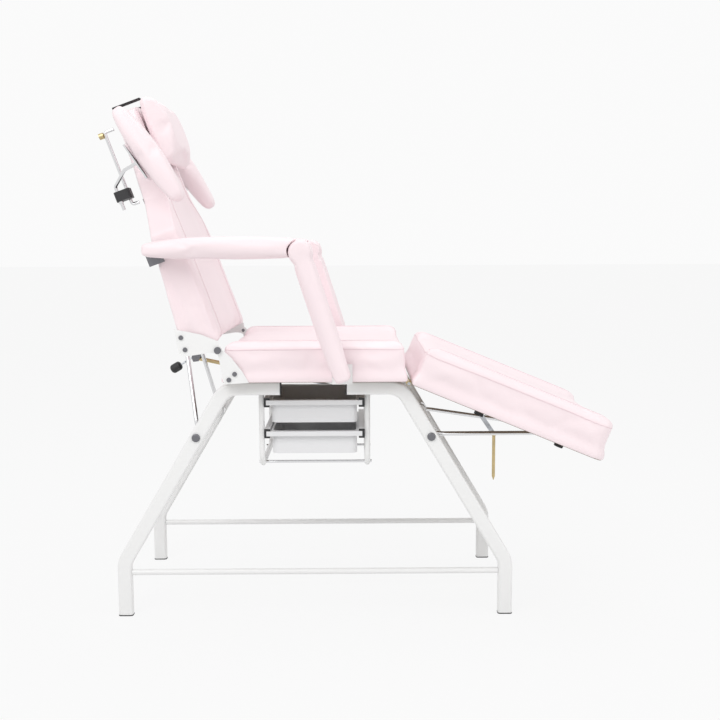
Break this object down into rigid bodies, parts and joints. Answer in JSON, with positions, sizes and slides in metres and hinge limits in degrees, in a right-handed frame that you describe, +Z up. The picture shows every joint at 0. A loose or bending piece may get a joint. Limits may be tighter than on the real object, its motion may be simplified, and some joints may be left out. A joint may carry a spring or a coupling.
{
  "type": "facial treatment bed",
  "caption": "Reclining salon treatment bed with lifting leg rest, folding padded arms, swing-out side rests, head pillow and pull-out trays under the seat.",
  "frame": {"origin": "centre of the bounding box on the floor under the feet, backrest at its upright stored angle", "axes": "+X towards the foot end, +Y towards the side with the lock strut, +Z up"},
  "size_m": [1.3588, 0.75, 1.3889],
  "materials": {
    "pink_vinyl": "satin soft vinyl",
    "white_paint": "gloss powder coat",
    "chrome_rod": "polished",
    "plywood": "plain",
    "black_plastic": "matte",
    "yellow_steel": "passivated",
    "dark_steel": "satin",
    "zinc_steel": "satin",
    "white_plastic": "smooth",
    "black_rubber": "matte",
    "black_elastic": "woven"
  },
  "bodies": {
    "frame": {"leg_tubes_head": "white_paint", "leg_tubes_foot": "white_paint", "lower_bars": "white_paint", "foot_caps": "black_plastic", "tube_plugs": "black_plastic", "cross_bolts": "dark_steel", "cross_tubes": "white_paint", "seat_board": "plywood", "seat_cushion": "pink_vinyl", "seat_plates": "white_paint", "hinge_pins": "dark_steel", "seat_plate_screws": "dark_steel", "leg_hinge_seat_leaves": "yellow_steel", "leg_hinge_pins": "zinc_steel", "arm_seat_brackets": "white_paint", "strut_seat_bracket": "dark_steel", "rack_frames": "white_paint", "rack_rods": "chrome_rod", "tray_rails": "white_plastic"},
    "backrest": {"back_board": "plywood", "back_cushion": "pink_vinyl", "back_plates": "white_paint", "back_plate_screws": "dark_steel", "back_cam_ribs": "dark_steel", "arm_back_anchors": "dark_steel", "strut_back_bracket": "dark_steel", "guide_rods": "chrome_rod", "guide_bolts": "yellow_steel", "pillow_strap": "black_elastic"},
    "leg_rest": {"leg_board": "plywood", "leg_cushion": "pink_vinyl", "leg_cam_ribs": "dark_steel", "leg_hinge_rest_leaves": "yellow_steel", "rubber_feet": "black_rubber", "latch_clips": "black_plastic"},
    "back_prop_body": {"back_prop": "chrome_rod"},
    "leg_prop_body": {"leg_prop": "chrome_rod"},
    "upright_near": {"upright_core_near": "dark_steel", "upright_pad_near": "pink_vinyl"},
    "upright_far": {"upright_core_far": "dark_steel", "upright_pad_far": "pink_vinyl"},
    "arm_near": {"arm_core_near": "dark_steel", "arm_pad_near": "pink_vinyl"},
    "arm_far": {"arm_core_far": "dark_steel", "arm_pad_far": "pink_vinyl"},
    "strut_tube_body": {"strut_tube": "yellow_steel"},
    "strut_rod_body": {"strut_rod": "zinc_steel"},
    "lever": {"release_lever": "zinc_steel", "release_knob": "black_plastic"},
    "latch": {"latch_bar": "zinc_steel"},
    "pull": {"pull_rod": "yellow_steel"},
    "tray_top": {"tray_upper": "white_plastic"},
    "tray_bottom": {"tray_lower": "white_plastic"},
    "clamp_near": {"pad_clamp_near": "black_plastic"},
    "clamp_far": {"pad_clamp_far": "black_plastic"},
    "side_rest_near": {"swing_rod_near": "chrome_rod", "side_pad_near": "pink_vinyl"},
    "side_rest_far": {"swing_rod_far": "chrome_rod", "side_pad_far": "pink_vinyl"},
    "head_pillow": {"pillow": "pink_vinyl"}
  },
  "joints": [
    {"name": "backrest_recline", "type": "hinge", "parent": "frame", "child": "backrest", "pos_m": [-0.36199, 0, 0.722], "axis": [0, -1, 0], "range_deg": [0, 70]},
    {"name": "leg_rest_tilt", "type": "hinge", "parent": "frame", "child": "leg_rest", "pos_m": [0.13201, 0, 0.6235], "axis": [0, -1, 0], "range_deg": [-25, 22.5]},
    {"name": "back_prop_swing", "type": "hinge", "parent": "frame", "child": "back_prop_body", "pos_m": [-0.42999, 0, 0.486], "axis": [0, -1, 0], "range_deg": [0, 47.5]},
    {"name": "leg_prop_swing", "type": "hinge", "parent": "frame", "child": "leg_prop_body", "pos_m": [0.19001, 0, 0.486], "axis": [0, -1, 0], "range_deg": [-35, 31.5]},
    {"name": "strut_swing", "type": "hinge", "parent": "backrest", "child": "strut_tube_body", "pos_m": [-0.49499, 0.18, 0.648], "axis": [0, -1, 0], "range_deg": [-59.5, 0]},
    {"name": "strut_stroke", "type": "slide", "parent": "strut_tube_body", "child": "strut_rod_body", "axis": [0.9788, 0, -0.2048], "range_m": [-0.1625, 0]},
    {"name": "release_lever_lift", "type": "hinge", "parent": "strut_tube_body", "child": "lever", "pos_m": [-0.49499, 0.197, 0.648], "axis": [0, 1, 0], "range_deg": [0, 12], "stiffness_Nm_per_rad": 4, "springref_deg": -2.86},
    {"name": "latch_bar_swing", "type": "hinge", "parent": "leg_rest", "child": "latch", "pos_m": [0.33761, -0.075, 0.51885], "axis": [0, -1, 0], "range_deg": [-15, 15]},
    {"name": "pull_rod_swing", "type": "hinge", "parent": "latch", "child": "pull", "pos_m": [0.37801, -0.084, 0.459], "axis": [0, -1, 0], "range_deg": [-45, 45]},
    {"name": "upper_tray_slide", "type": "slide", "parent": "frame", "child": "tray_top", "axis": [0, -1, 0], "range_m": [0, 0.2]},
    {"name": "lower_tray_slide", "type": "slide", "parent": "frame", "child": "tray_bottom", "axis": [0, -1, 0], "range_m": [0, 0.2]},
    {"name": "pillow_slide", "type": "slide", "parent": "backrest", "child": "head_pillow", "axis": [0.342, 0, -0.9397], "range_m": [0, 0.1]},
    {"name": "upright_lean_near", "type": "hinge", "parent": "frame", "child": "upright_near", "pos_m": [-0.04299, -0.307, 0.655], "axis": [0, -1, 0], "range_deg": [0, 42]},
    {"name": "arm_knee_near", "type": "hinge", "parent": "upright_near", "child": "arm_near", "pos_m": [-0.14599, -0.311, 0.973], "axis": [0, -1, 0], "range_deg": [-17.5, 0]},
    {"name": "side_rest_height_near", "type": "slide", "parent": "backrest", "child": "clamp_near", "axis": [-0.342, 0, 0.9397], "range_m": [0, 0.13]},
    {"name": "side_rest_swing_near", "type": "hinge", "parent": "clamp_near", "child": "side_rest_near", "pos_m": [-0.63235, -0.19, 1.1344], "axis": [0.342, 0, -0.9397], "range_deg": [0, 70]},
    {"name": "upright_lean_far", "type": "hinge", "parent": "frame", "child": "upright_far", "pos_m": [-0.04299, 0.307, 0.655], "axis": [0, -1, 0], "range_deg": [0, 42]},
    {"name": "arm_knee_far", "type": "hinge", "parent": "upright_far", "child": "arm_far", "pos_m": [-0.14599, 0.311, 0.973], "axis": [0, -1, 0], "range_deg": [-17.5, 0]},
    {"name": "side_rest_height_far", "type": "slide", "parent": "backrest", "child": "clamp_far", "axis": [-0.342, 0, 0.9397], "range_m": [0, 0.13]},
    {"name": "side_rest_swing_far", "type": "hinge", "parent": "clamp_far", "child": "side_rest_far", "pos_m": [-0.63235, 0.19, 1.1344], "axis": [-0.342, 0, 0.9397], "range_deg": [0, 70]}
  ],
  "couplings": [
    {"joint": "back_prop_swing", "follows": "backrest_recline", "ratio": 0.675},
    {"joint": "leg_prop_swing", "follows": "leg_rest_tilt", "ratio": 1.37},
    {"joint": "strut_swing", "follows": "backrest_recline", "ratio": -0.8378},
    {"joint": "strut_stroke", "follows": "backrest_recline", "m_per_rad": -0.13208},
    {"joint": "upright_lean_near", "follows": "backrest_recline", "ratio": 0.592},
    {"joint": "arm_knee_near", "follows": "backrest_recline", "ratio": -0.244},
    {"joint": "upright_lean_far", "follows": "backrest_recline", "ratio": 0.592},
    {"joint": "arm_knee_far", "follows": "backrest_recline", "ratio": -0.244}
  ]
}
